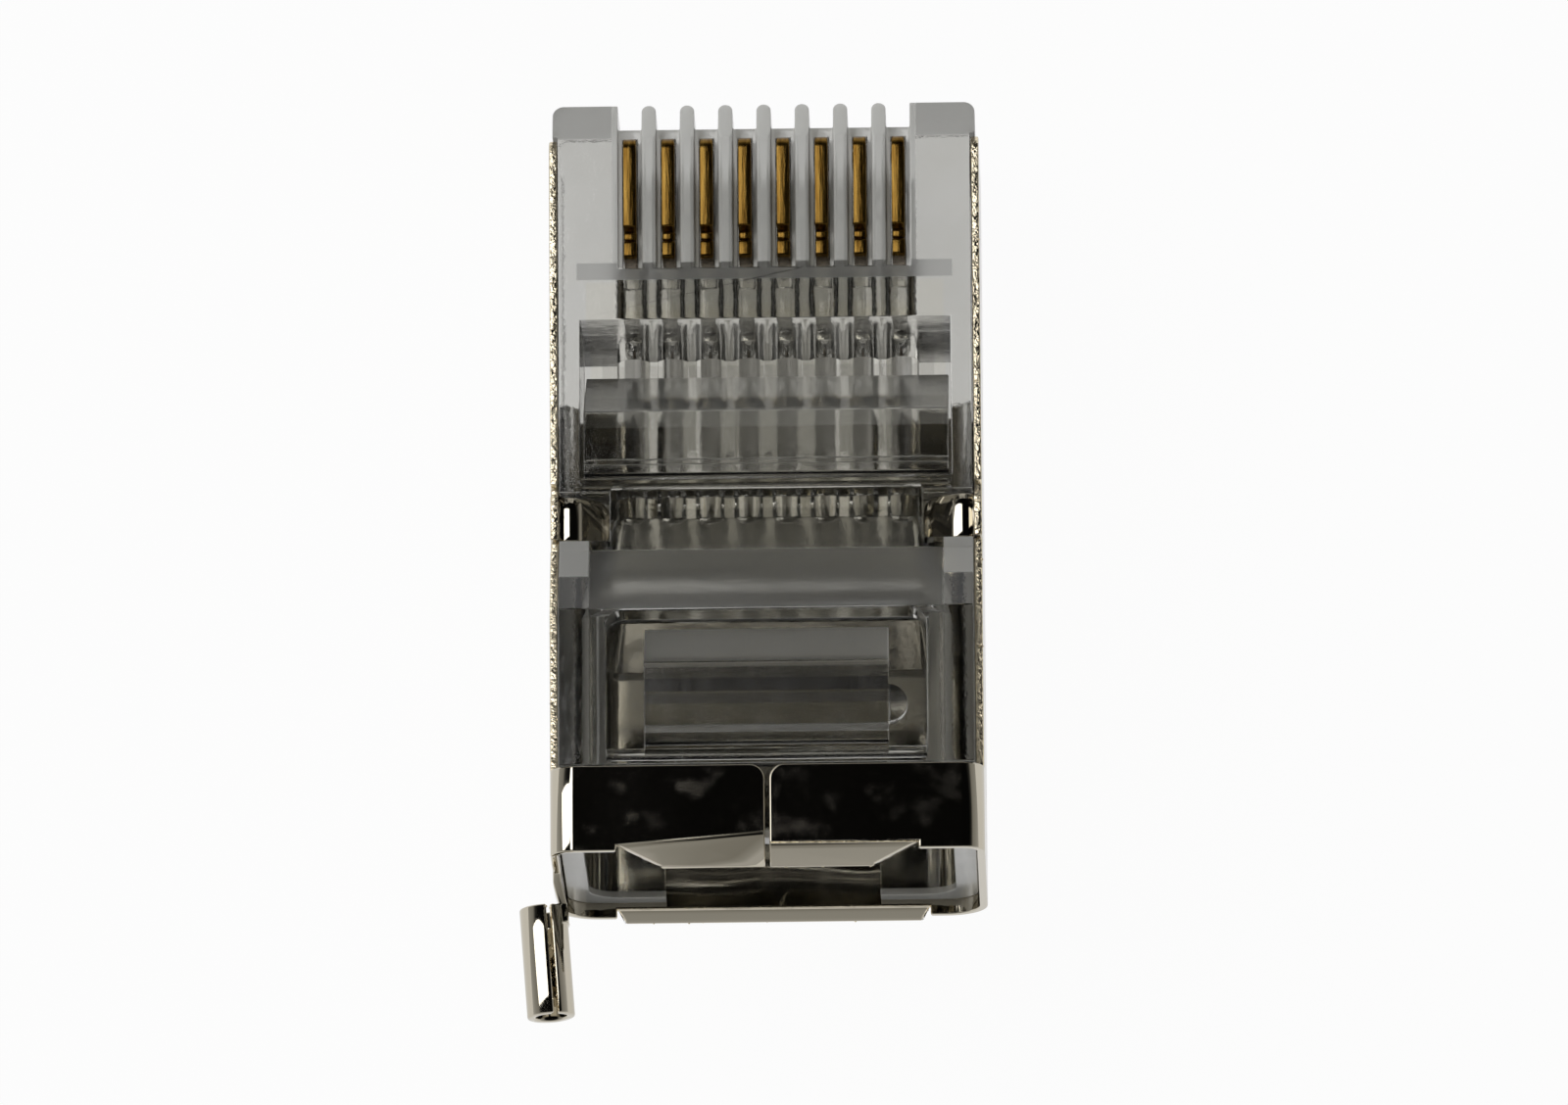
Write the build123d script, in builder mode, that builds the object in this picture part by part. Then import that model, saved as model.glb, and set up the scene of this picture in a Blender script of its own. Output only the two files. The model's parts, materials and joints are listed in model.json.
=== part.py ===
from build123d import *
from math import atan2, cos, hypot, radians, sin, tan
import os

# Shielded 8-position modular plug, millimetres, new and not yet crimped.
# It lies as it comes to rest: contact side up, on the front edge of its nose and on the tip of its latch.
# Distances "behind the tip" run from the nose tip to the cable end. Heights run from the latch side of
# the nose (0) to the contact side.

# Contacts and the fins between them
positions = 8
pitch = 1.016
blade_thickness = 0.35
blade_clearance = 0.03
blade_front = 0.96
blade_ridge_end = 3.42
blade_shoulder_start = 3.70
blade_end = 4.24
blade_waist = 4.15
blade_nose_radius = 0.34
blade_step = 0.25
blade_tail_radius = 0.12
blade_notch = 0.4
blade_notch_slope = 0.1
first_tine = 0.72
tine_tip = 3.27
tine_pitch = 0.9
tine_half_width = 0.28
fin_width = 0.38
fin_rounding = 0.12
slot_end = 4.60
slot_wall = 0.27
web_drop = 0.55
front_recess_floor = 3.3

# Housing
nose_width = 11.2
nose_height = 6.6
nose_corner = 0.3
lead_in_length = 1.0
lead_in_drop = 0.42
step_set_back = 0.05
step_length = 1.9
side_wall = 0.6
floor_wall = 0.6
cavity_height = 6.0
cavity_corner = 0.8
roof_wall = 0.92
roof_lead = 0.2
funnel_set_back = 0.6
funnel_corner = 0.23
channel_height = 2.75
channel_radius = 0.46
channel_mouth = 0.5
channel_start = 1.6
notch_width = 5.7
notch_length = 2.6
notch_corner = 0.6

# Conductor strain relief and its window
wire_window_start = 5.98
wire_window_length = 4.32
wire_window_width = 9.8
wire_ledge_height = 4.85
wire_ledge_length = 0.27
wire_bar_gap = 0.82
wire_bar_slope = 1.6
wire_bar_undercut = 1.0
wire_bar_drop = 0.35
wire_bar_lift = 0.4

# Cable strain relief and its window
cable_window_set_back = 0.05
cable_window_length = 3.75
cable_window_width = 8.43
cable_window_corner = 0.5
cable_bar_gap = 0.25
cable_bar_slope = 1.15
cable_bar_undercut = 0.8
cable_bar_width = 6.42
cable_bar_drop = 0.15
gate_set_forward = 1.2
gate_radius = 0.5
gate_thickness = 0.45

# Hinge webs of the two bars
bead_radius = 0.25
bead_clearance = 0.03
web_thickness = 0.3
bar_side_gap = 0.08

# Latch
latch_reach = 15.0
latch_standoff = 4.5
latch_pivot = 1.5
latch_pivot_height = 0.45
latch_bead = 0.5
latch_top_rise = 0.09
latch_shoulder = 8.36
latch_width = 6.0
lever_width = 3.2
latch_thickness = 0.85
lever_thickness = 0.5
lever_step = 0.12
latch_heel = 1.1
latch_tip_rake = 0.28
latch_pocket_height = 0.62
latch_pocket_gap = 0.2
latch_pocket_flat = 7.6
latch_pocket_end = 8.8

# Sheet-metal shield
sheet = 0.22
fit_gap = 0.02
shield_width = 11.4
shield_front = 0.95
shield_floor_front = 7.4
shield_overhang = 0.4
flap_set_back = 0.45
flap_length = 2.3
floor_bend = 1.1
flap_bend = 0.62
wall_drop = 0.12
wall_corner = 0.4
seam_gap = 0.12
tab_set_back = 0.45
tab_length = 1.2
tab_reach = 1.4
tab_bend = 0.4
tab_droop = 32.0
tab_corner = 0.4
tab_clearance = 0.06
tab_relief = 0.3
lip_width = 7.9
lip_length = 0.7
lip_set_back = 0.17
lip_slant = 0.33
lip_angle = 48.0
lip_bend = 0.25
lip_corner = 1.15
heel_lip_width = 8.3
heel_lip_length = 0.4
heel_lip_set_back = 0.25
heel_lip_angle = 45.0
heel_lip_corner = 0.2

# Drain-wire tail, rolled from the shield's left wall
tube_outer = 1.26
tube_height = 4.6
tube_length = 2.95
tube_inset = 0.15
tube_set_out = 0.03
tube_seam = 0.12
tube_seam_turn = 15.0
tube_yaw = 4.0
neck_length = 0.75
neck_height = 1.9
neck_root_height = 0.8
neck_lap = 0.44

tilt = atan2(latch_standoff, latch_reach)

# Places behind the tip, each set off from the feature in front of it
wire_window_end = wire_window_start + wire_window_length
funnel_end = wire_window_end + funnel_set_back
tab_start = wire_window_end + tab_set_back
step_start = tab_start + tab_length + tab_relief + step_set_back
step_end = step_start + step_length
cable_window_start = step_end + cable_window_set_back
cable_window_end = cable_window_start + cable_window_length
flap_front = cable_window_end + flap_set_back
shield_end = flap_front + flap_length
housing_length = shield_end - shield_overhang
tube_start = shield_end + neck_length

web_height = nose_height - web_drop
array_half = positions * pitch / 2
core_half = shield_width / 2 - sheet - fit_gap
core_floor = sheet + fit_gap
cavity_width = 2 * (core_half - side_wall)
cavity_floor = core_floor + floor_wall
cavity_ceiling = cavity_floor + cavity_height
rear_height = cavity_ceiling + roof_wall + core_floor
slot_width = blade_thickness + 2 * blade_clearance
slot_front = blade_front - 2 * blade_clearance
overcut = 1.0

# The plug's own frame: x across, y towards the nose, z towards the contact side
plug = Plane(origin=(0, 0, 0), x_dir=(1, 0, 0), z_dir=(0, sin(tilt), cos(tilt)))
# A lengthwise section of the plug: x is the distance behind the tip, y the height
profile = Plane(origin=plug.origin, x_dir=-plug.y_dir, z_dir=-plug.x_dir)
# A lengthwise section that stands upright: x is the distance behind the tip along the ground, y the height
upright = Plane(origin=plug.origin, x_dir=(0, -1, 0), z_dir=(-1, 0, 0))


def section(distance):
    """A plane across the plug, that far behind the tip: x across, y the height."""
    return Plane(origin=plug.origin - plug.y_dir * distance, x_dir=plug.x_dir, z_dir=-plug.y_dir)


def spot(shape):
    """The middle of an edge or face: across, behind the tip, height."""
    point = plug.to_local_coords(shape.center())
    return Vector(point.X, -point.Y, point.Z)


def near(value, target):
    return abs(value - target) < 0.02


os.makedirs("parts", exist_ok=True)

wire_hinge = (wire_window_end, nose_height - wire_bar_drop - bead_radius)
cable_hinge = (cable_window_end, rear_height - cable_bar_drop - bead_radius)
tab_wall = shield_width / 2 - sheet / 2
tab_peak = nose_height - sheet / 2
tab_drop = tab_reach * tan(radians(tab_droop))
tab_shelf = tab_peak - sheet - (tab_wall - core_half + tab_bend) * tan(radians(tab_droop))
pocket_half = latch_width / 2 + latch_pocket_gap

# Housing: the long core behind the nose, as one lengthwise profile
with BuildPart() as housing:
    with BuildSketch(profile):
        Polygon(
            (shield_front, 0),
            (shield_front, nose_height),
            (step_start, nose_height),
            (step_end, rear_height),
            (flap_front - fit_gap, rear_height),
            (flap_front - fit_gap, rear_height - core_floor),
            (housing_length - roof_lead, rear_height - core_floor),
            (housing_length, rear_height - core_floor - roof_lead),
            (housing_length, core_floor),
            (shield_floor_front - fit_gap, core_floor),
            (shield_floor_front - fit_gap, 0),
            align=None,
        )
    extrude(amount=core_half, both=True)
    # long edges rounded where the sheet wraps round them
    sides = housing.edges().filter_by(lambda e: near(abs(spot(e).X), core_half))
    fillet(sides.filter_by(lambda e: near(spot(e).Z, core_floor)), floor_bend - sheet - fit_gap)
    sides = housing.edges().filter_by(lambda e: near(abs(spot(e).X), core_half))
    fillet(sides.filter_by(lambda e: near(spot(e).Z, rear_height - core_floor)), flap_bend - sheet - fit_gap)

    # nose block, flush with the outside of the shield
    with BuildSketch(plug):
        with Locations((0, -shield_front / 2)):
            Rectangle(nose_width, shield_front)
    extrude(amount=nose_height)
    uprights = housing.edges().filter_by(lambda e: near(spot(e).Y, 0) and near(spot(e).Z, nose_height / 2))
    fillet(uprights, nose_corner)

    # contact region: cleared between the shoulders, then the fins are raised
    with BuildSketch(profile):
        Polygon(
            (-overcut, front_recess_floor),
            (slot_front - slot_wall, front_recess_floor),
            (slot_front - slot_wall, web_height),
            (slot_end, web_height),
            (slot_end, nose_height + overcut),
            (-overcut, nose_height + overcut),
            align=None,
        )
    extrude(amount=array_half - fin_width / 2, both=True, mode=Mode.SUBTRACT)
    with BuildSketch(plug.offset(front_recess_floor)):
        with GridLocations(pitch, 0, positions - 1, 1):
            with Locations((0, -(fin_width / 2 + slot_end) / 2)):
                Rectangle(fin_width, slot_end - fin_width / 2)
            with Locations((0, -fin_width / 2)):
                Circle(fin_width / 2)
    extrude(amount=nose_height - front_recess_floor)

    # lead-in slope over the tips of the fins and shoulders
    with BuildSketch(profile):
        Polygon(
            (-lead_in_length, nose_height - 2 * lead_in_drop),
            (lead_in_length, nose_height),
            (lead_in_length, nose_height + overcut),
            (-lead_in_length, nose_height + overcut),
            align=None,
        )
    extrude(amount=nose_width, both=True, mode=Mode.SUBTRACT)
    fin_tops = housing.edges().filter_by(
        lambda e: near(spot(e).Z, nose_height) and near(e.length, slot_end - lead_in_length)
    )
    fillet(fin_tops.filter_by(lambda e: abs(spot(e).X) < array_half - fin_width), fin_rounding)

    # wire channels: round grooves that run into each other through one shared mouth
    with BuildSketch(section(channel_start)):
        with Locations((0, channel_height)):
            with GridLocations(pitch, 0, positions, 1):
                Circle(channel_radius)
            Rectangle((positions - 1) * pitch, channel_mouth)
    extrude(amount=funnel_end - channel_start + fit_gap, mode=Mode.SUBTRACT)

    # blade slots, from the contact side down into the channels
    with BuildSketch(plug.offset(channel_height)):
        with GridLocations(pitch, 0, positions, 1):
            with Locations((0, -(slot_front + slot_end) / 2)):
                Rectangle(slot_width, slot_end - slot_front)
    extrude(amount=nose_height - channel_height + overcut, mode=Mode.SUBTRACT)

    # cable cavity, and the funnel that leads the conductors into their channels
    with BuildSketch(section(step_end)):
        with Locations((0, (cavity_floor + cavity_ceiling) / 2)):
            RectangleRounded(cavity_width, cavity_height, cavity_corner)
    extrude(amount=housing_length - step_end + overcut, mode=Mode.SUBTRACT)
    with BuildSketch(section(step_end + fit_gap)):
        with Locations((0, (cavity_floor + cavity_ceiling) / 2)):
            RectangleRounded(cavity_width, cavity_height, cavity_corner)
    with BuildSketch(section(funnel_end)):
        with Locations((0, channel_height)):
            RectangleRounded(positions * pitch, 2 * channel_radius, funnel_corner)
    loft(mode=Mode.SUBTRACT)

    # notch in the floor of the cable entry, which bares the shield
    with BuildSketch(plug.offset(-overcut)):
        with Locations((0, -housing_length)):
            RectangleRounded(notch_width, 2 * notch_length, notch_corner)
    extrude(amount=overcut + cavity_floor + fit_gap, mode=Mode.SUBTRACT)

    # window of the conductor strain relief, open to the channels
    with BuildSketch(profile):
        Polygon(
            (wire_window_start, nose_height + overcut),
            (wire_window_start, wire_ledge_height),
            (wire_window_start + wire_ledge_length, channel_height),
            (wire_window_end, channel_height),
            (wire_window_end, nose_height + overcut),
            align=None,
        )
        with Locations(wire_hinge):
            Circle(bead_radius + bead_clearance)
    extrude(amount=wire_window_width / 2, both=True, mode=Mode.SUBTRACT)

    # window of the cable strain relief, through the roof of the cavity
    with BuildSketch(plug.offset(cavity_ceiling - fit_gap)):
        with Locations((0, -(cable_window_start + cable_window_end) / 2)):
            RectangleRounded(cable_window_width, cable_window_end - cable_window_start, cable_window_corner)
        with Locations((0, -cable_window_end)):
            Rectangle(cable_window_width, 2 * cable_window_corner, align=(Align.CENTER, Align.MIN))
    extrude(amount=rear_height - cavity_ceiling + overcut, mode=Mode.SUBTRACT)
    with BuildSketch(profile):
        with Locations(cable_hinge):
            Circle(bead_radius + bead_clearance)
    extrude(amount=cable_window_width / 2, both=True, mode=Mode.SUBTRACT)

    # pockets that the side tabs of the shield fold into
    with BuildSketch(section(tab_start - tab_clearance)):
        for side in (-1, 1):
            Polygon(
                (side * (core_half + overcut), nose_height + overcut),
                (side * (tab_wall - tab_reach - tab_clearance), nose_height + overcut),
                (side * (tab_wall - tab_reach - tab_clearance), tab_peak - sheet - tab_drop),
                (side * (core_half - tab_bend), tab_shelf),
                (side * core_half, tab_shelf - tab_bend),
                (side * (core_half + overcut), tab_shelf - tab_bend),
                align=None,
            )
    extrude(amount=tab_length + 2 * tab_clearance, mode=Mode.SUBTRACT)

    # pocket for the latch, and the groove that its root turns in
    with BuildSketch(profile):
        Polygon(
            (latch_pivot, -overcut),
            (latch_pivot, latch_pocket_height),
            (latch_pocket_flat, latch_pocket_height),
            (latch_pocket_end, 0),
            (latch_pocket_end, -overcut),
            align=None,
        )
        with Locations((latch_pivot, latch_pivot_height)):
            Circle(latch_bead + bead_clearance)
    extrude(amount=pocket_half, both=True, mode=Mode.SUBTRACT)

# Conductor strain relief: a wedge on a thin web, its round bead in the window's rear wall
wire_bar_toe = wire_window_start + wire_bar_gap
wire_bar_floor = channel_height + channel_radius + wire_bar_lift
with BuildPart() as conductor_strain_relief:
    with BuildSketch(profile):
        Polygon(
            (wire_bar_toe, wire_bar_floor),
            (wire_bar_toe + wire_bar_slope, nose_height - wire_bar_drop),
            (wire_window_end, nose_height - wire_bar_drop),
            (wire_window_end, nose_height - wire_bar_drop - web_thickness),
            (wire_window_end - 2 * bead_radius, nose_height - wire_bar_drop - web_thickness),
            (wire_window_end - wire_bar_undercut, wire_bar_floor),
            align=None,
        )
        with Locations(wire_hinge):
            Circle(bead_radius)
    extrude(amount=wire_window_width / 2 - bar_side_gap, both=True)

# Cable strain relief: the same form, shallower, over the cable cavity
cable_bar_toe = cable_window_start + cable_bar_gap
with BuildPart() as cable_strain_relief:
    with BuildSketch(profile):
        Polygon(
            (cable_bar_toe, cavity_ceiling),
            (cable_bar_toe + cable_bar_slope, rear_height - cable_bar_drop),
            (cable_window_end, rear_height - cable_bar_drop),
            (cable_window_end, rear_height - cable_bar_drop - web_thickness),
            (cable_window_end - 2 * bead_radius, rear_height - cable_bar_drop - web_thickness),
            (cable_window_end - cable_bar_undercut, cavity_ceiling),
            align=None,
        )
        with Locations(cable_hinge):
            Circle(bead_radius)
    extrude(amount=cable_bar_width / 2, both=True)
    # round stub of the moulding gate on one end of the bar
    with BuildSketch(plug.offset(rear_height - cable_bar_drop)):
        with Locations((cable_bar_width / 2, -(cable_window_end - gate_set_forward))):
            Circle(gate_radius)
    extrude(amount=-gate_thickness)

# Latch: a wide catch on a round root, and the narrow lever that a finger presses
pivot_back = latch_pivot * cos(tilt) - latch_pivot_height * sin(tilt)
pivot_up = latch_pivot_height * cos(tilt) + latch_pivot * sin(tilt)
shoulder_back = pivot_back + latch_shoulder - latch_pivot
tip_back = hypot(latch_reach, latch_standoff)
latch_top = pivot_up + latch_top_rise
with BuildPart() as latch:
    with BuildSketch(upright):
        Polygon(
            (pivot_back, latch_top),
            (shoulder_back, latch_top),
            (shoulder_back, latch_top - latch_thickness),
            (pivot_back, pivot_up - latch_bead),
            align=None,
        )
        with Locations((pivot_back, pivot_up)):
            Circle(latch_bead)
    extrude(amount=latch_width / 2, both=True)
    with BuildSketch(upright):
        Polygon(
            (shoulder_back - latch_thickness, latch_top - lever_step),
            (shoulder_back, latch_top - lever_step),
            (tip_back - latch_heel, lever_thickness),
            (tip_back, lever_thickness / 2),
            (tip_back - latch_tip_rake, 0),
            (tip_back - latch_heel, 0),
            (shoulder_back, latch_top - lever_step - lever_thickness),
            (shoulder_back - latch_thickness, latch_top - lever_step - lever_thickness),
            align=None,
        )
    extrude(amount=lever_width / 2, both=True)

# Contacts: stamped blades with a rounded nose, a stepped tail and three piercing tines
contacts = []
for number in range(1, positions + 1):
    offset_across = (number - (positions + 1) / 2) * pitch
    with BuildPart() as contact:
        with BuildSketch(profile.offset(-offset_across)):
            Polygon(
                (blade_front, nose_height),
                (blade_ridge_end, nose_height),
                (blade_ridge_end + blade_notch_slope, nose_height - blade_notch),
                (blade_shoulder_start, nose_height - blade_notch),
                (blade_shoulder_start + blade_notch_slope, nose_height - blade_step),
                (blade_end, nose_height - blade_step),
                (blade_end, blade_waist),
                *[
                    (blade_front + first_tine + step * tine_pitch + way * tine_half_width, height)
                    for step in (2, 1, 0)
                    for way, height in ((1, blade_waist), (0, tine_tip), (-1, blade_waist))
                ],
                (blade_front, blade_waist),
                align=None,
            )
        extrude(amount=blade_thickness / 2, both=True)
        nose = contact.edges().filter_by(
            lambda e: near(spot(e).Y, blade_front) and near(spot(e).Z, nose_height)
        )
        fillet(nose, blade_nose_radius)
        tail = contact.edges().filter_by(
            lambda e: near(spot(e).Y, blade_end) and near(spot(e).Z, nose_height - blade_step)
        )
        fillet(tail, blade_tail_radius)
    contact.part.label = f"contact_{number}"
    contacts.append(contact.part)

# Shield: one folded sheet. The wrap is drawn round the housing, then opened where the sheet was cut away
wall_top_rear = rear_height - flap_bend
lip_crease = shield_end - lip_set_back
lip_tip = (
    lip_crease + lip_length * cos(radians(lip_angle)),
    rear_height - sheet / 2 - lip_length * sin(radians(lip_angle)),
)
heel_lip_crease = shield_end - heel_lip_set_back
heel_lip_tip = (
    heel_lip_crease + heel_lip_length * cos(radians(heel_lip_angle)),
    sheet / 2 - heel_lip_length * sin(radians(heel_lip_angle)),
)
with BuildPart() as shield:
    with BuildSketch(section(shield_front)) as wrap:
        with Locations((0, rear_height / 2)):
            Rectangle(shield_width, rear_height)
        fillet(wrap.vertices().group_by(Axis.Y)[0], floor_bend)
        fillet(wrap.vertices().group_by(Axis.Y)[-1], flap_bend)
        offset(amount=-sheet, mode=Mode.SUBTRACT)
    extrude(amount=shield_end - shield_front)
    # open contact side in front of the rear flaps
    with BuildSketch(profile):
        Polygon(
            (-overcut, nose_height - wall_drop),
            (step_start, nose_height - wall_drop),
            (step_end, wall_top_rear),
            (flap_front, wall_top_rear),
            (flap_front, rear_height + overcut),
            (-overcut, rear_height + overcut),
            align=None,
        )
    extrude(amount=shield_width, both=True, mode=Mode.SUBTRACT)
    # open latch side under the nose, and room for the latch
    with BuildSketch(profile):
        with Locations((0, -overcut)):
            Rectangle(shield_floor_front, overcut + floor_bend, align=(Align.MIN, Align.MIN))
    extrude(amount=shield_width, both=True, mode=Mode.SUBTRACT)
    with BuildSketch(plug.offset(-overcut)):
        with Locations((0, -latch_pocket_end)):
            Rectangle(2 * pocket_half, 2 * (latch_pocket_end - shield_floor_front))
    extrude(amount=overcut + floor_bend / 2, mode=Mode.SUBTRACT)
    fronts = shield.edges().filter_by(
        lambda e: near(spot(e).Y, shield_front) and near(abs(spot(e).X), tab_wall)
    )
    fillet(fronts, wall_corner)
    # side tabs, folded in over the contact side between two relief cuts
    with BuildSketch(profile):
        for cut_start in (tab_start - tab_relief, tab_start + tab_length):
            with Locations((cut_start + tab_relief / 2, nose_height)):
                Rectangle(tab_relief, 2 * (wall_drop + tab_bend))
    extrude(amount=shield_width, both=True, mode=Mode.SUBTRACT)
    with BuildSketch(section(tab_start)):
        for side in (-1, 1):
            with BuildLine():
                FilletPolyline(
                    (side * tab_wall, nose_height / 2),
                    (side * tab_wall, tab_peak),
                    (side * (tab_wall - tab_reach), tab_peak - tab_drop),
                    radius=tab_bend,
                )
            trace(line_width=sheet)
    extrude(amount=tab_length)
    tab_ends = shield.edges().filter_by(
        lambda e: near(e.length, sheet)
        and abs(spot(e).X) < tab_wall - tab_reach + sheet
        and spot(e).Y < step_start
    )
    fillet(tab_ends, tab_corner)
    # lips: the flaps' rear edges bent down into the entry, the left one along a crease that runs askew
    for side, slant in ((-1, lip_slant), (1, 0)):
        with BuildSketch(plug.offset(rear_height - flap_bend)):
            Polygon(
                (0, -lip_crease + slant),
                (side * lip_width / 2, -lip_crease),
                (side * lip_width / 2, -shield_end - overcut),
                (0, -shield_end - overcut),
                align=None,
            )
        extrude(amount=flap_bend + overcut, mode=Mode.SUBTRACT)
        for across, crease in ((0, lip_crease - slant), (side * lip_width / 2, lip_crease)):
            with BuildSketch(profile.offset(-across)):
                with BuildLine():
                    FilletPolyline(
                        (crease - sheet, rear_height - sheet / 2),
                        (crease, rear_height - sheet / 2),
                        lip_tip,
                        radius=lip_bend,
                    )
                trace(line_width=sheet)
        loft()
    # heel lip: the floor's rear edge flared away from the entry
    with BuildSketch(plug.offset(-overcut)):
        with Locations((0, -shield_end)):
            Rectangle(heel_lip_width, 2 * heel_lip_set_back)
    extrude(amount=overcut + floor_bend / 2, mode=Mode.SUBTRACT)
    with BuildSketch(profile):
        with BuildLine():
            FilletPolyline(
                (heel_lip_crease - sheet, sheet / 2),
                (heel_lip_crease, sheet / 2),
                heel_lip_tip,
                radius=lip_bend,
            )
        trace(line_width=sheet)
    extrude(amount=heel_lip_width / 2, both=True)
    # lip corners, cut off askew
    for half, corner, crease, tip, base in (
        (lip_width / 2, lip_corner, lip_crease, lip_tip, rear_height - 2 * flap_bend),
        (heel_lip_width / 2, heel_lip_corner, heel_lip_crease, heel_lip_tip, -2 * overcut),
    ):
        with BuildSketch(plug.offset(base)):
            for side in (-1, 1):
                Polygon(
                    (side * (half - corner), -tip[0] - sheet),
                    (side * (half - corner), -tip[0]),
                    (side * half, -crease),
                    (side * (half + fit_gap), -crease),
                    (side * (half + fit_gap), -tip[0] - sheet),
                    align=None,
                )
        extrude(amount=3 * overcut, mode=Mode.SUBTRACT)
    # butt seam between the two flaps, with rounded corners at its front end
    with BuildSketch(plug.offset(rear_height / 2)):
        with Locations((0, -shield_end)):
            Rectangle(seam_gap, 2 * (shield_end - flap_front) + overcut)
    extrude(amount=rear_height, mode=Mode.SUBTRACT)
    seam_corners = shield.edges().filter_by(
        lambda e: near(spot(e).Y, flap_front)
        and near(abs(spot(e).X), seam_gap / 2)
        and near(e.length, sheet)
    )
    fillet(seam_corners, wall_corner)

    # drain-wire tail: a neck out of the left wall's rear edge that narrows into the rolled tube
    tube_across = -tab_wall + tube_inset
    with BuildSketch(plug.offset(tube_height - neck_height / 2)):
        with BuildLine():
            FilletPolyline(
                (-tab_wall, -shield_end + sheet),
                (-tab_wall, -shield_end - sheet),
                (tube_across, -tube_start),
                (tube_across + neck_lap * sin(radians(tube_yaw)), -tube_start - neck_lap),
                radius=sheet,
            )
        trace(line_width=sheet)
    extrude(amount=neck_height)
    for way in (-1, 1):
        with BuildSketch(profile):
            Polygon(
                (shield_end, tube_height + way * neck_height / 2),
                (tube_start, tube_height + way * neck_root_height / 2),
                (tube_start + neck_lap + sheet, tube_height + way * neck_root_height / 2),
                (tube_start + neck_lap + sheet, tube_height + way * neck_height),
                (shield_end, tube_height + way * neck_height),
                align=None,
            )
        extrude(amount=shield_width, mode=Mode.SUBTRACT)
    tube_middle = tube_across - tube_set_out - tube_outer / 2 + sheet / 2
    tube_offset = plug.x_dir * tube_middle + plug.z_dir * tube_height
    tube_mouth = section(tube_start).origin + tube_offset
    tube_dir = plug.x_dir * sin(radians(tube_yaw)) - plug.y_dir * cos(radians(tube_yaw))
    with BuildSketch(Plane(tube_mouth, x_dir=plug.z_dir.cross(tube_dir), z_dir=tube_dir)):
        Circle(tube_outer / 2)
        Circle(tube_outer / 2 - sheet, mode=Mode.SUBTRACT)
        with PolarLocations(tube_outer / 2, 1, start_angle=90 - tube_seam_turn):
            Rectangle(tube_outer, tube_seam, mode=Mode.SUBTRACT)
    extrude(amount=tube_length)

pieces = {
    "housing": housing.part,
    "latch": latch.part,
    "conductor_strain_relief": conductor_strain_relief.part,
    "cable_strain_relief": cable_strain_relief.part,
    "shield": shield.part,
}
for name, piece in pieces.items():
    piece.label = name
    export_step(piece, f"parts/{name}.step")
for piece in contacts:
    export_step(piece, f"parts/{piece.label}.step")
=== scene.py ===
# %% [markdown]
# # A clear modular plug in a folded metal shield
#
# The plug is a clear polycarbonate moulding with eight gold blades in its nose and a nickel-plated sheet
# folded round its body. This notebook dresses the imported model: every solid keeps its place, and gets
# soft edges, a finish and light. We work in metres, as Blender does, and write small sizes in millimetres.

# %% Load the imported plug
import json
from math import atan2, degrees, pi, radians, tan

import bmesh
import bpy
from mathutils import Euler, Matrix, Vector
from mathutils.bvhtree import BVHTree

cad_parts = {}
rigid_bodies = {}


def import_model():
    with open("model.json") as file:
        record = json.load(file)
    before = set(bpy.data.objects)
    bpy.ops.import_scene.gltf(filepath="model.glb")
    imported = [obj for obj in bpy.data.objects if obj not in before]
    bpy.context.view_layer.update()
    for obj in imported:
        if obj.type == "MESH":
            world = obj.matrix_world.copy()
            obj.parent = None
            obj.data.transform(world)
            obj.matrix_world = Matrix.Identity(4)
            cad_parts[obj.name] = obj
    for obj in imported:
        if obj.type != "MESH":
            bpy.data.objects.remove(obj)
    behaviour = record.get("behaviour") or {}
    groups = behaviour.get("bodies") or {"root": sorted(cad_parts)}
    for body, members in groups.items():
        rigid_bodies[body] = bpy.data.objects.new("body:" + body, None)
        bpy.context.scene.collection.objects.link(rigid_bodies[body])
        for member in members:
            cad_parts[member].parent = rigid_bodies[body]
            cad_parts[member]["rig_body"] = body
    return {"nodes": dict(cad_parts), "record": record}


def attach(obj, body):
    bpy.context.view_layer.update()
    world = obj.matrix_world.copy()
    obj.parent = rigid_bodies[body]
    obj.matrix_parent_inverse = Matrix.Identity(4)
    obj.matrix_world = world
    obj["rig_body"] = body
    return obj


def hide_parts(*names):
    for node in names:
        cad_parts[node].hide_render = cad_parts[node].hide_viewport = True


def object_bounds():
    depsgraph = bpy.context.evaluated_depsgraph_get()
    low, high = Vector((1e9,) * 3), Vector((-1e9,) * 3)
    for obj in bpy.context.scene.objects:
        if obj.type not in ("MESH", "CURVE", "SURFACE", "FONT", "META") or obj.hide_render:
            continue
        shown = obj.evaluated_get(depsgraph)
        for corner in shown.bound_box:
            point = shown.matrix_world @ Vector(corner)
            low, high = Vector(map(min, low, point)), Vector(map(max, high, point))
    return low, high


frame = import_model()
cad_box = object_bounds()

mm = 0.001
print("solids:", ", ".join(sorted(frame["nodes"])))

# %% [markdown]
# ## The plug's own directions
#
# The plug rests on its nose and its latch, so it lies tipped. Its finishes follow the plug and not the
# table: a frosted face sits a certain distance behind the nose tip. The record's flat face on the latch
# side faces straight out of the plug, so its direction gives the tip angle.

# %% Tip angle
mounts = {mount["name"]: mount for mount in frame["record"]["mounts"]}
latch_side = Vector(mounts["latch_side_face"]["axis"])
tip_angle = atan2(latch_side.y, latch_side.z) + pi
tip_angle = (tip_angle + pi) % (2 * pi) - pi
print(f"tipped by {degrees(tip_angle):.2f} degrees")

# %% [markdown]
# ## Camera
#
# The photograph looks almost straight down on the contact side from far away, so lines hardly converge.
# A long lens at a half metre gives that. The turns are small: the nose leans towards the camera and the
# right side is a little nearer. The scale at the plug sets the lens.

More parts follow.
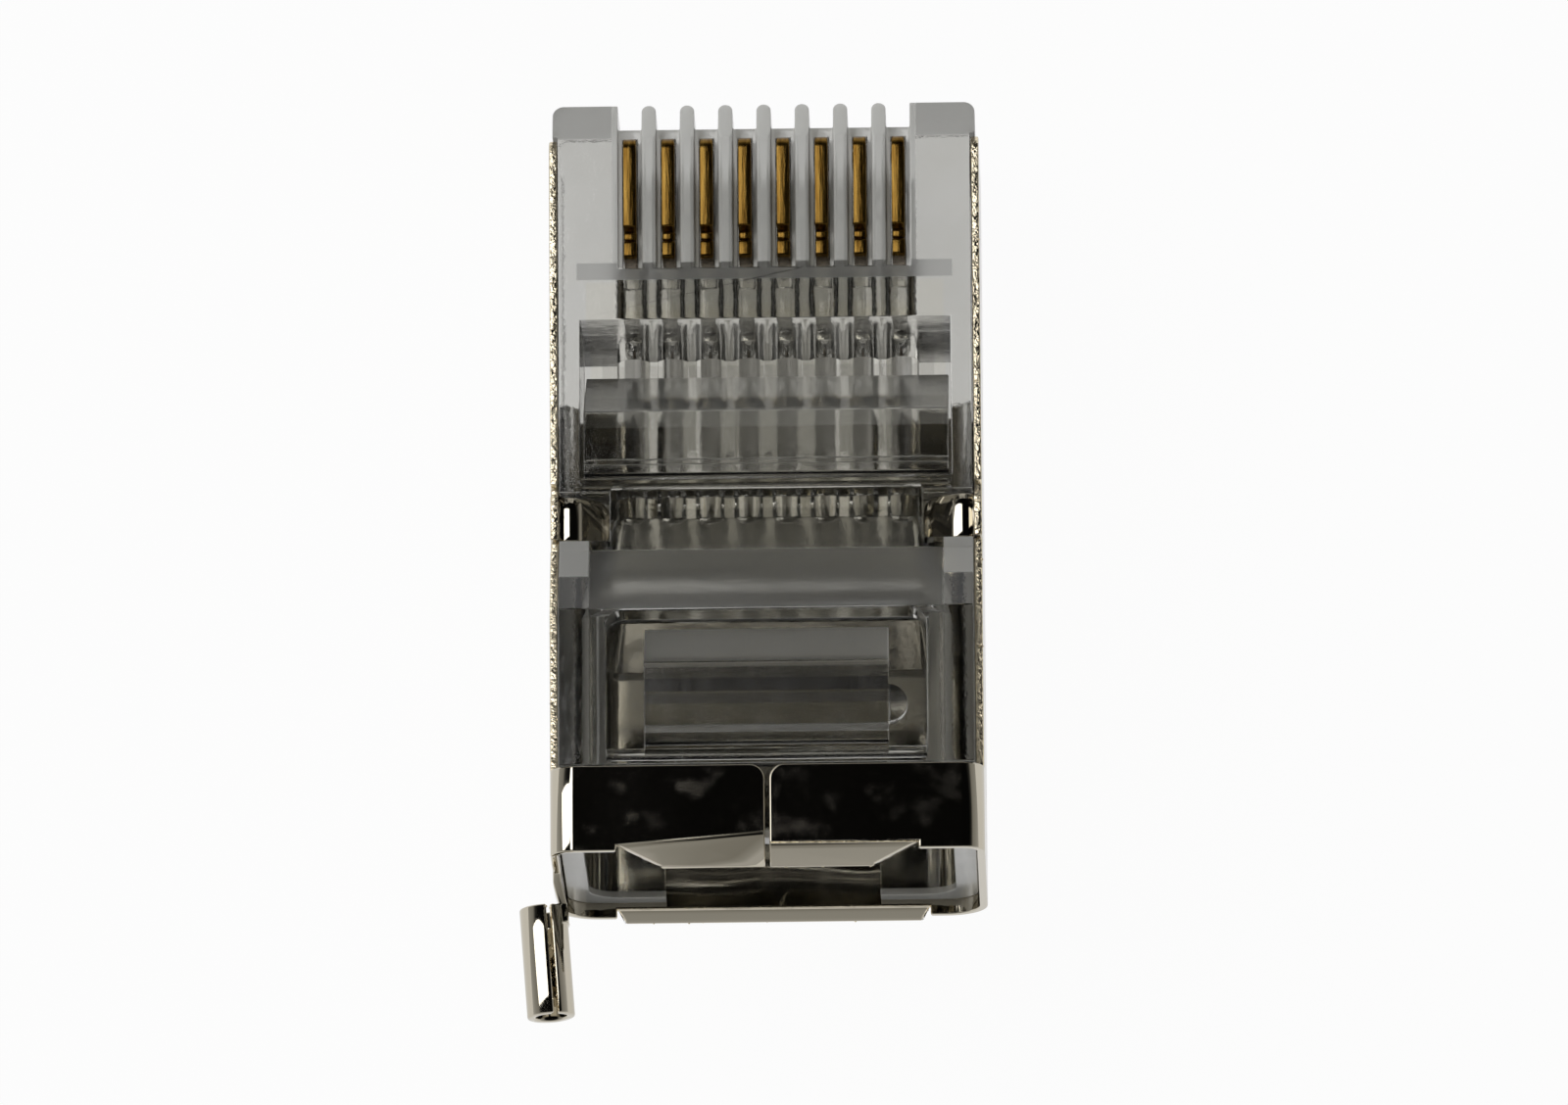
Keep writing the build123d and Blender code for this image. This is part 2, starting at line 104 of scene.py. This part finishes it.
# %% Camera
photo_width = 1600       # pixels
pixels_per_mm = 38.48    # in the photograph, at the plug
camera_distance = 480 * mm
sensor_width = 36        # millimetres, a full-frame camera
camera_turns = Euler((radians(-2.45), radians(1.14), radians(-0.7)), "ZYX")
camera_aim = Vector((0.41, -10.1, 7.0)) * mm

camera_data = bpy.data.cameras.new("camera")
camera_data.sensor_width = sensor_width
camera_data.lens = sensor_width * camera_distance / mm * pixels_per_mm / photo_width
camera_data.clip_start = 10 * mm
camera_data.clip_end = 10
camera = bpy.data.objects.new("camera", camera_data)
camera_turn = camera_turns.to_matrix()
camera_place = camera_aim + camera_turn.col[2] * camera_distance
camera.matrix_world = Matrix.Translation(camera_place) @ camera_turn.to_4x4()
bpy.context.scene.collection.objects.link(camera)
bpy.context.scene.camera = camera
bpy.context.scene.view_settings.view_transform = "Standard"
print(f"lens {camera_data.lens:.0f} mm")

# %% [markdown]
# ## Writing shader maths as Python
#
# A finish is a sum of masks: frosted here, polished there. Math nodes wired one by one are hard to read,
# so one small class wraps a socket and turns Python's operators into Math nodes. Its `node` method adds
# any other kind of node.


# %% Reading
class Reading:
    """A value in a material that Python can add, multiply and compare."""

    def __init__(self, tree, socket=None):
        self.tree = tree
        self.socket = socket

    def node(self, kind, settings=None, sockets=None, output=0):
        """Adds a node: its settings are set first, then its sockets get values or links."""
        made = self.tree.nodes.new(kind)
        for name, value in (settings or {}).items():
            if name == "stops":
                ramp = made.color_ramp.elements
                while len(ramp) < len(value):
                    ramp.new(1)
                for stop, (position, colour) in zip(ramp, value):
                    stop.position = position
                    stop.color = colour
            else:
                setattr(made, name, value)
        for name, value in (sockets or {}).items():
            if isinstance(value, Reading):
                self.tree.links.new(value.socket, made.inputs[name])
            else:
                made.inputs[name].default_value = value
        return Reading(self.tree, made.outputs[output])

    def math(self, operation, first, second=0.0):
        return self.node("ShaderNodeMath", {"operation": operation}, {0: first, 1: second})

    def __add__(self, other):
        return self.math("ADD", self, other)

    def __sub__(self, other):
        return self.math("SUBTRACT", self, other)

    def __rsub__(self, other):
        return self.math("SUBTRACT", other, self)

    def __mul__(self, other):
        return self.math("MULTIPLY", self, other)

    def __abs__(self):
        return self.math("ABSOLUTE", self)

    def __or__(self, other):
        return self.math("MAXIMUM", self, other)

    __radd__ = __add__
    __rmul__ = __mul__

    def rising(self, start, end):
        """0 below start, 1 above end, smooth between."""
        return self.node(
            "ShaderNodeMapRange",
            {"interpolation_type": "SMOOTHSTEP"},
            {"Value": self, "From Min": start, "From Max": end},
        )

    def between(self, low, high, soft):
        """1 from low to high, fading out over soft at both ends."""
        return self.rising(low - soft, low) * (1 - self.rising(high, high + soft))

    def mixed(self, first, second):
        """The first colour where this is 0, the second where it is 1."""
        return self.node("ShaderNodeMix", {"data_type": "RGBA"}, {0: self, 6: first, 7: second}, output=2)


def new_finish(name):
    """An empty material: a start for its nodes, its output node, and the plug's own axes in millimetres."""
    material = bpy.data.materials.new(name)
    material.use_nodes = True
    material.node_tree.nodes.clear()
    start = Reading(material.node_tree)
    output = material.node_tree.nodes.new("ShaderNodeOutputMaterial")
    place = start.node("ShaderNodeTexCoord", output="Object")
    turned = start.node(
        "ShaderNodeMapping",
        sockets={"Vector": place, "Rotation": (tip_angle, 0, 0), "Scale": (1 / mm,) * 3},
    )
    return material, start, output, turned


def split(start, vector):
    """The three numbers of a vector, each a Reading of its own."""
    outputs = start.node("ShaderNodeSeparateXYZ", sockets={0: vector}).socket.node.outputs
    return [Reading(start.tree, outputs[i]) for i in range(3)]


def show(start, output, surface):
    start.tree.links.new(surface.socket, output.inputs["Surface"])


print("maths on sockets is ready")

# %% [markdown]
# ## Clear polycarbonate
#
# Real polycarbonate bends light strongly (index 1.58) and is slightly grey when it is thick. Cycles' glass
# does the bending. Lamps can't shine through glass directly, so for shadow rays alone the surface turns
# transparent. In the photograph most faces look polished and a few look frosted or cloudy. So each finish
# has zones, boxes in the plug's own millimetres. A zone needs a lowest and a highest height too, so that
# it frosts a slope and not the channels under it. In a zone, each of these can be from 0 to 1:
#
# - frost: how rough the surface is
# - shade: how far its colour goes to the zone's tint
# - skin: a polished coat over the rest
# - milk: how much of the surface scatters light, as cloudy plastic does, and lets none through
#
# The tints and these numbers were tuned until the greys came near the photograph's. They are no material
# data. The warm, dim and dark tints are painted light and shade: a painted warm reflection of the shield,
# with a little painted shade, over the middle, painted shade in the deep pocket, at the window and on the
# floors of the grooves, and painted dark lines of shade and reflection on the cable bar.

# %% Zones of a moulding
plastic_index = 1.58
clear_tint = (0.68, 0.68, 0.665, 1)
thick_tint = (0.63, 0.62, 0.58, 1)
frosted_tint = (0.31, 0.31, 0.30, 1)
milky_tint = (0.97, 0.97, 0.95, 1)
# Painted light and shade: the dark and dim tints are painted shade, the warm tint a painted warm
# reflection.
painted_shade_tint = (0.13, 0.125, 0.11, 1)
painted_dim_shade_tint = (0.50, 0.485, 0.43, 1)
painted_warm_reflection_tint = (0.67, 0.65, 0.58, 1)
painted_darkest_shade_tint = (0.02, 0.019, 0.017, 1)
cloudy_colour = (0.74, 0.74, 0.71, 1)
shadow_tint = (0.55, 0.54, 0.52, 1)
zone_border = 0.05    # millimetres over which a zone fades out


def zone(front, back, low, high=9.0, inner=0.0, outer=6.5, tint=frosted_tint,
         frost=1.0, shade=1.0, skin=0.0, milk=0.0):
    """A box behind the nose tip, from low to high and from inner to outer on both sides of the middle."""
    return dict(
        front=front, back=back, low=low, high=high, inner=inner, outer=outer,
        frost=frost, shade=shade, skin=skin, milk=milk, tint=tint,
    )


lead_in = zone(-0.2, 1.0, 5.9, inner=4.05)
fins = zone(-0.2, 4.4, 5.6, outer=4.0, frost=0.3, skin=1.0, milk=0.65, tint=milky_tint)
band_behind_contacts = zone(4.45, 4.87, 6.55, outer=4.95)
# Rougher groove floors with painted shade on them.
groove_floors_painted_shade = zone(5.2, 12.0, 2.2, 2.36, frost=0.5, tint=painted_shade_tint)
step_ramp = zone(12.3, 14.2, 6.62, outer=4.62, shade=0.6)
hazy_sides = zone(11.0, 18.4, 0.5, 7.2, inner=4.7, frost=0.7, milk=0.5, tint=milky_tint)
cable_end_face = zone(20.2, 20.5, 0.0, frost=0.1, milk=0.6, tint=milky_tint)
# Painted warm reflection of the shield, with a little painted shade, over the middle.
middle_painted_warm_reflection = zone(5.0, 12.2, 1.0, outer=4.7, frost=0.0, tint=painted_warm_reflection_tint)
# Painted shade in the deep pocket and at the window.
deep_pocket_painted_shade = zone(6.2, 7.4, 1.0, outer=4.4, frost=0.0, tint=painted_dim_shade_tint)
window_painted_shade = zone(11.2, 12.2, 1.0, outer=4.5, frost=0.0, tint=painted_dim_shade_tint)
wire_bar_slope = zone(6.8, 8.4, 3.4, frost=0.12, shade=0.6, milk=0.2, tint=milky_tint)
cable_bar_slope = zone(14.5, 15.6, 6.0, milk=0.12, tint=milky_tint)
# Painted dark lines of shade and reflection on the top of the cable bar.
cable_bar_painted_dark_lines = [
    zone(15.72, 16.05, 7.4, frost=0.2, shade=0.6, tint=painted_shade_tint),
    zone(16.1, 16.42, 7.4, frost=0.3, tint=painted_darkest_shade_tint),
    zone(16.52, 16.75, 7.4, frost=0.3, shade=0.8, tint=painted_darkest_shade_tint),
]
whole_latch = zone(0.0, 20.0, -6.0, frost=0.1, shade=0.0)
print("zones of the mouldings, in mm behind the nose tip")


# %% Clear polycarbonate
def clear_plastic(name, zones):
    """Clear plastic with the given zones. Where two zones meet, the later one's tint wins."""
    material, start, output, place = new_finish(name)
    across, forward, height = split(start, place)
    sideways = abs(across)
    behind = 0 - forward
    grain = start.node("ShaderNodeTexNoise", sockets={"Vector": place, "Scale": 9.0, "Detail": 6.0})
    swirl = start.node("ShaderNodeTexNoise", sockets={"Vector": place, "Scale": 0.7, "Detail": 2.0})
    tint = swirl.mixed(clear_tint, thick_tint)
    frost = 0
    skin = 0
    milk = 0
    for z in zones:
        inside = behind.between(z["front"], z["back"], zone_border)
        inside = inside * height.between(z["low"], z["high"], zone_border)
        inside = inside * sideways.between(z["inner"], z["outer"], zone_border)
        frost = inside * z["frost"] | frost
        tint = (inside * z["shade"]).mixed(tint, z["tint"])
        if z["skin"]:
            skin = inside * z["skin"] | skin
        if z["milk"]:
            milk = inside * z["milk"] | milk
    lumps = grain * 0.3 + swirl * 2.0
    bump = start.node("ShaderNodeBump", sockets={"Strength": 0.3, "Distance": 0.03 * mm, "Height": lumps})
    glass = start.node(
        "ShaderNodeBsdfPrincipled",
        sockets={
            "Base Color": tint,
            "Roughness": 0.03 + 0.05 * grain + frost * (0.30 + 0.12 * grain),
            "IOR": plastic_index,
            "Transmission Weight": 1.0,
            "Coat Weight": skin,
            "Coat Roughness": 0.08,
            "Normal": bump,
        },
    )
    cloudy = start.node(
        "ShaderNodeBsdfPrincipled",
        sockets={"Base Color": cloudy_colour, "Roughness": 0.2, "Normal": bump},
    )
    body = start.node("ShaderNodeMixShader", sockets={"Fac": milk, 1: glass, 2: cloudy})
    gap = start.node("ShaderNodeBsdfTransparent", sockets={"Color": shadow_tint})
    rays = start.node("ShaderNodeLightPath", output="Is Shadow Ray")
    show(start, output, start.node("ShaderNodeMixShader", sockets={"Fac": rays, 1: body, 2: gap}))
    return material


housing_finish = clear_plastic(
    "clear_polycarbonate",
    [
        hazy_sides, lead_in, fins, band_behind_contacts, middle_painted_warm_reflection, deep_pocket_painted_shade, window_painted_shade,
        groove_floors_painted_shade, step_ramp, cable_end_face,
    ],
)
wire_bar_finish = clear_plastic("wire_bar_polycarbonate", [wire_bar_slope])
cable_bar_finish = clear_plastic("cable_bar_polycarbonate", [cable_bar_slope, *cable_bar_painted_dark_lines])
latch_finish = clear_plastic("latch_polycarbonate", [whole_latch])
print("four clear finishes")

# %% [markdown]
# ## Nickel plate and gold plate
#
# Both are polished metal, so nearly all that we see is the room. The nickel is faintly warm. Where the
# sheet was sheared, the edge is torn and rougher, and an attribute on those faces switches that on. The
# gold has streaks along the blade. Its two colours are much darker than real gold plate: they were tuned to
# the photograph, where the blades look dark.


# %% Metal finishes
nickel_colour = (0.60, 0.555, 0.46, 1)
cut_edge_colour = (0.90, 0.80, 0.60, 1)
dark_gold = (0.11, 0.055, 0.009, 1)
light_gold = (0.25, 0.15, 0.035, 1)


def nickel_plate():
    """Bright nickel: slightly wavy, with a few smudges, and torn where the cut_edge attribute is 1."""
    material, start, output, place = new_finish("nickel_plate")
    fine = start.node("ShaderNodeTexNoise", sockets={"Vector": place, "Scale": 6.0, "Detail": 8.0})
    waves = start.node("ShaderNodeTexNoise", sockets={"Vector": place, "Scale": 0.35, "Detail": 1.0})
    cut = start.node("ShaderNodeAttribute", {"attribute_name": "cut_edge"}, output="Fac")
    tears = start.node("ShaderNodeTexNoise", sockets={"Vector": place, "Scale": 7.0, "Detail": 3.0})
    cloud = start.node("ShaderNodeTexNoise", sockets={"Vector": place, "Scale": 1.3, "Detail": 5.0})
    smudges = cloud.rising(0.5, 0.7)
    bump = start.node(
        "ShaderNodeBump",
        sockets={
            "Strength": 0.6,
            "Distance": 0.06 * mm,
            "Height": fine * 0.01 + waves * 0.7 + cut * tears * 1.6,
        },
    )
    colour = cut.mixed(nickel_colour, cut_edge_colour)
    metal = start.node(
        "ShaderNodeBsdfPrincipled",
        sockets={
            "Base Color": colour,
            "Metallic": 1.0,
            "Roughness": 0.02 + fine * 0.03 + smudges * 0.05 + cut * 0.16,
            "Normal": bump,
        },
    )
    show(start, output, metal)
    return material


def gold_plate():
    """Gold with streaks along the blade."""
    material, start, output, place = new_finish("gold_plate")
    stretched = start.node("ShaderNodeMapping", sockets={"Vector": place, "Scale": (8.0, 0.6, 2.0)})
    streaks = start.node("ShaderNodeTexNoise", sockets={"Vector": stretched, "Scale": 2.0, "Detail": 5.0})
    colour = start.node(
        "ShaderNodeValToRGB",
        {"stops": [(0.3, dark_gold), (0.7, light_gold)]},
        {0: streaks},
    )
    bump = start.node("ShaderNodeBump", sockets={"Strength": 0.5, "Distance": 0.02 * mm, "Height": streaks})
    metal = start.node(
        "ShaderNodeBsdfPrincipled",
        sockets={"Base Color": colour, "Metallic": 1.0, "Roughness": 0.16 + streaks * 0.16, "Normal": bump},
    )
    show(start, output, metal)
    return material


nickel = nickel_plate()
gold = gold_plate()
print("nickel and gold")

# %% [markdown]
# ## Soft edges
#
# The solids have perfectly sharp edges, and a sharp edge never catches the light. Real sheet, blades and
# mouldings have a tiny round there. A merged copy of each solid gets a bevel, and stands for the solid. The
# flat faces are weighted so that they shade flat right up to the round. On the sheet we also mark the
# sheared faces, which are exactly one sheet thick. At a few sharp corners the bevel shoots past the solid,
# so points that end up too far from it are put back on its surface.


# %% Soft edges
bevel_from_angle = radians(35)
cut_face_from_angle = radians(60)
sheet_tolerance = 0.03 * mm
farthest_from_solid = 0.6    # as a share of the edge's radius


def mark_cut_faces(shape, sheet):
    """Marks the faces of a folded sheet that were sheared: they are as wide as the sheet is thick."""
    mark = shape.faces.layers.float.new("cut_edge")
    for face in shape.faces:
        sharp = [e for e in face.edges if e.is_manifold and e.calc_face_angle() > cut_face_from_angle]
        if not sharp:
            continue
        edge = max(sharp, key=lambda e: e.calc_length())
        along = (edge.verts[1].co - edge.verts[0].co).normalized()
        inwards = face.normal.cross(along)
        reach = [v.co.dot(inwards) for v in face.verts]
        if abs(max(reach) - min(reach) - sheet) < sheet_tolerance:
            face[mark] = 1.0


def plain_mesh(piece, name):
    """Applies a piece's modifiers: what they make becomes its mesh."""
    graph = bpy.context.evaluated_depsgraph_get()
    made = bpy.data.meshes.new_from_object(piece.evaluated_get(graph))
    piece.modifiers.clear()
    piece.data = made
    made.name = name
    return made


def softened(node, radius, finish, sheet=None):
    """A copy of a solid whose sharp edges are rounded. It stands for the solid on the same body."""
    source = frame["nodes"][node]
    shape = bmesh.new()
    shape.from_mesh(source.data)
    bmesh.ops.remove_doubles(shape, verts=shape.verts, dist=1e-7)
    surface = BVHTree.FromBMesh(shape)
    bmesh.ops.dissolve_limit(shape, angle_limit=radians(0.5), verts=shape.verts, edges=shape.edges)
    if sheet:
        mark_cut_faces(shape, sheet)
    mesh = bpy.data.meshes.new(node + "_finished")
    shape.to_mesh(mesh)
    shape.free()
    piece = bpy.data.objects.new(node + "_finished", mesh)
    bpy.context.scene.collection.objects.link(piece)
    for polygon in mesh.polygons:
        polygon.use_smooth = True
    bevel = piece.modifiers.new("soft_edges", "BEVEL")
    bevel.limit_method = "ANGLE"
    bevel.angle_limit = bevel_from_angle
    bevel.width = radius
    bevel.segments = 2
    bevel.use_clamp_overlap = False
    weigh = piece.modifiers.new("flat_faces_stay_flat", "WEIGHTED_NORMAL")
    weigh.mode = "FACE_AREA"
    weigh.weight = 50
    weigh.keep_sharp = False
    rounded = plain_mesh(piece, node + "_finished")
    put_back = 0
    for vertex in rounded.vertices:
        nearest, normal, index, distance = surface.find_nearest(vertex.co)
        if distance > farthest_from_solid * radius:
            vertex.co = nearest
            put_back += 1
    rounded.materials.clear()
    rounded.materials.append(finish)
    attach(piece, source["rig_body"])
    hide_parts(node)
    print(node, len(rounded.polygons), "faces,", put_back, "points put back")
    return piece


sheet_thickness = 0.22 * mm
sheet_edge = 0.045 * mm
small_edge = 0.03 * mm
latch_edge = 0.08 * mm
shield = softened("shield", sheet_edge, nickel, sheet=sheet_thickness)
for number in range(1, 9):
    softened(f"contact_{number}", small_edge, gold)
softened("latch", latch_edge, latch_finish)
softened("housing", small_edge, housing_finish)
softened("conductor_strain_relief", small_edge, wire_bar_finish)
softened("cable_strain_relief", small_edge, cable_bar_finish)

# %% [markdown]
# ## Nodules of plating on the sheared edges
#
# The shield's rim glitters in the photograph. Plating tends to grow fastest on torn edges, in tiny nodules,
# and that is our guess for the glitter. Hundreds of small round grains on a surface are a job for Geometry
# Nodes: points are scattered over the sheared faces, and each gets a bead of random size, half sunk into
# the sheet.


# %% Nodule tree
def nodule_tree(finish):
    """Geometry Nodes that scatter beads over a surface, with inputs for their number, size and seed."""
    tree = bpy.data.node_groups.new("plating_nodules", "GeometryNodeTree")
    for name, kind in (
        ("Surface", "NodeSocketGeometry"),
        ("Beads per square metre", "NodeSocketFloat"),
        ("Largest radius", "NodeSocketFloat"),
        ("Seed", "NodeSocketInt"),
    ):
        tree.interface.new_socket(name, in_out="INPUT", socket_type=kind)
    tree.interface.new_socket("Beads", in_out="OUTPUT", socket_type="NodeSocketGeometry")
    start = Reading(tree)
    given = start.node("NodeGroupInput").socket.node.outputs
    surface, density, radius, seed = (Reading(tree, given[i]) for i in range(4))
    points = start.node(
        "GeometryNodeDistributePointsOnFaces", sockets={"Mesh": surface, "Density": density, "Seed": seed}
    )
    bead = start.node("GeometryNodeMeshUVSphere", sockets={"Segments": 8, "Rings": 5, "Radius": radius})
    smallest, largest = 0.35, 1.0    # as a share of the largest radius
    size = start.node(
        "FunctionNodeRandomValue", {"data_type": "FLOAT"}, {2: smallest, 3: largest, "Seed": seed}, output=1
    )
    beads = start.node(
        "GeometryNodeInstanceOnPoints", sockets={"Points": points, "Instance": bead, "Scale": size}
    )
    real = start.node("GeometryNodeRealizeInstances", sockets={0: beads})
    smooth = start.node("GeometryNodeSetShadeSmooth", sockets={0: real, "Shade Smooth": True})
    coated = start.node("GeometryNodeSetMaterial", sockets={0: smooth, "Material": finish})
    end = tree.nodes.new("NodeGroupOutput")
    tree.links.new(coated.socket, end.inputs[0])
    return tree


nodules = nodule_tree(nickel)
tree_inputs = [item for item in nodules.interface.items_tree if item.in_out == "INPUT"]
print("inputs:", ", ".join(item.name for item in tree_inputs))


# %% Beads on the shield's rim
rim = bmesh.new()
rim.from_mesh(shield.data)
cut_edge = rim.faces.layers.float["cut_edge"]
smallest_bead_spot = (0.1 * mm) ** 2
plain = [face for face in rim.faces if face[cut_edge] < 0.5 or face.calc_area() < smallest_bead_spot]
bmesh.ops.delete(rim, geom=plain, context="FACES")
rim_area = sum(face.calc_area() for face in rim.faces)
rim_mesh = bpy.data.meshes.new("plating_nodules")
rim.to_mesh(rim_mesh)
rim.free()
beads = bpy.data.objects.new("plating_nodules", rim_mesh)
bpy.context.scene.collection.objects.link(beads)
scatter = beads.modifiers.new("scatter", "NODES")
scatter.node_group = nodules
settings = {"Beads per square metre": 14 / mm**2, "Largest radius": 0.04 * mm, "Seed": 7}
for item in tree_inputs:
    if item.name in settings:
        scatter[item.identifier] = settings[item.name]
bead_mesh = plain_mesh(beads, "plating_nodules")
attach(beads, frame["nodes"]["shield"]["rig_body"])
print(f"sheared faces {rim_area / mm**2:.1f} mm2, {len(bead_mesh.polygons)} faces of beads")

# %% [markdown]
# ## Floor
#
# The floor is white to the camera, as in a catalogue picture. Light Path's Is Camera Ray makes it glow for
# the camera by itself, so no lamp has to be turned up, and a little of its plain matt surface stays in the
# mix, which keeps a faint shadow of the plug. Polished metal sees the floor a little dimmer, and clear
# plastic much dimmer. Both shares were tuned to the photograph's greys.


# %% Floor
def floor_finish(to_camera, to_metal, to_plastic):
    """Matt white, which glows by these shares for rays from the camera, off metal and through plastic."""
    material, start, output, place = new_finish("pale_floor")
    outputs = start.node("ShaderNodeLightPath").socket.node.outputs
    names = ("Is Camera Ray", "Is Glossy Ray", "Is Transmission Ray")
    camera_ray, glossy_ray, transmission_ray = (Reading(start.tree, outputs[name]) for name in names)
    seen = camera_ray * to_camera | glossy_ray * to_metal | transmission_ray * to_plastic
    paper = start.node("ShaderNodeTexNoise", sockets={"Vector": place, "Scale": 0.05, "Detail": 2.0})
    pale = paper.mixed((0.90, 0.90, 0.90, 1), (0.94, 0.94, 0.94, 1))
    matt = start.node("ShaderNodeBsdfDiffuse", sockets={"Color": pale})
    white = start.node("ShaderNodeEmission", sockets={"Color": (1, 1, 1, 1), "Strength": 1.0})
    show(start, output, start.node("ShaderNodeMixShader", sockets={"Fac": seen, 1: matt, 2: white}))
    return material


floor_mesh = bpy.data.meshes.new("floor")
half = 2.0    # metres from the middle to each side
corners = [(-half, -half, 0), (half, -half, 0), (half, half, 0), (-half, half, 0)]
floor_mesh.from_pydata(corners, [], [(0, 1, 2, 3)])
floor_mesh.materials.append(floor_finish(to_camera=0.96, to_metal=0.7, to_plastic=0.32))
floor = bpy.data.objects.new("floor", floor_mesh)
bpy.context.scene.collection.objects.link(floor)
print("floor", 2 * half, "m wide")

# %% [markdown]
# ## The room
#
# Polished metal shows the room, so the room decides how it looks. The flat flaps mirror a spot high over
# the nose and look black, so the room is dark there. The turned-up lips mirror the room lower down behind
# the plug and look mid grey. So the room is pale at the horizon and dark above, and the dark ceiling leans
# to the nose.

# %% World
world = bpy.data.worlds.new("studio")
bpy.context.scene.world = world
world.use_nodes = True
world.node_tree.nodes.clear()
air = Reading(world.node_tree)
towards = air.node("ShaderNodeTexCoord", output="Generated")
right, noseward, up = split(air, towards)
ceiling_lean = 0.35
horizon_to_ceiling = [
    (0.0, (0.5, 0.5, 0.5, 1)),
    (0.2, (0.36, 0.36, 0.35, 1)),
    (0.55, (0.26, 0.255, 0.24, 1)),
    (0.68, (0.03, 0.03, 0.028, 1)),
    (0.8, (0.003, 0.003, 0.003, 1)),
]
room = air.node(
    "ShaderNodeValToRGB",
    {"stops": horizon_to_ceiling},
    {0: up + noseward * ceiling_lean},
)
seen = air.node("ShaderNodeLightPath", output="Is Camera Ray")
white_to_camera = seen.mixed(room, (1, 1, 1, 1))
backdrop = air.node("ShaderNodeBackground", sockets={"Color": white_to_camera, "Strength": 1.0})
world_output = world.node_tree.nodes.new("ShaderNodeOutputWorld")
world.node_tree.links.new(backdrop.socket, world_output.inputs["Surface"])
print("room with a dark ceiling")

# %% [markdown]
# ## Lamp
#
# The left bend of the shield carries one long white highlight with a sharp right border. A bend mirrors a
# whole fan of directions, so a wide softbox gives it, whose right side ends almost over the plug.


# %% Lamp
def softbox(name, left_degrees, nose_degrees, distance, width, height, radiance):
    """An area lamp that faces the plug, leaned from straight up to the left and to the nose.

    Its long sides have no slope to the left or right, so the highlight's border runs along the plug.
    """
    lamp = bpy.data.lights.new(name, "AREA")
    lamp.shape = "RECTANGLE"
    lamp.size = width
    lamp.size_y = height
    lamp.energy = radiance * pi * width * height
    holder = bpy.data.objects.new(name, lamp)
    direction = Vector((-tan(radians(left_degrees)), tan(radians(nose_degrees)), 1)).normalized()
    centre = (cad_box[0] + cad_box[1]) / 2
    holder.location = centre + direction * distance
    lengthwise = Vector((0, direction.z, -direction.y)).normalized()
    turn = Matrix((lengthwise.cross(direction), lengthwise, direction)).transposed()
    holder.rotation_euler = turn.to_euler()
    holder.visible_camera = False
    bpy.context.scene.collection.objects.link(holder)
    return holder


key = softbox(
    "key_softbox", left_degrees=33.5, nose_degrees=28, distance=0.6, width=0.58, height=0.36, radiance=2.5
)
print(f"{key.name} at {key.location.z / mm:.0f} mm over the floor")

# %% [markdown]
# ## Sizes, and the last line
#
# The imported model's box is written down. The dressed model has to stay inside the imported one.

# %% Sizes for the record
print("CAD box", [round(v / mm, 3) for corner in cad_box for v in corner])
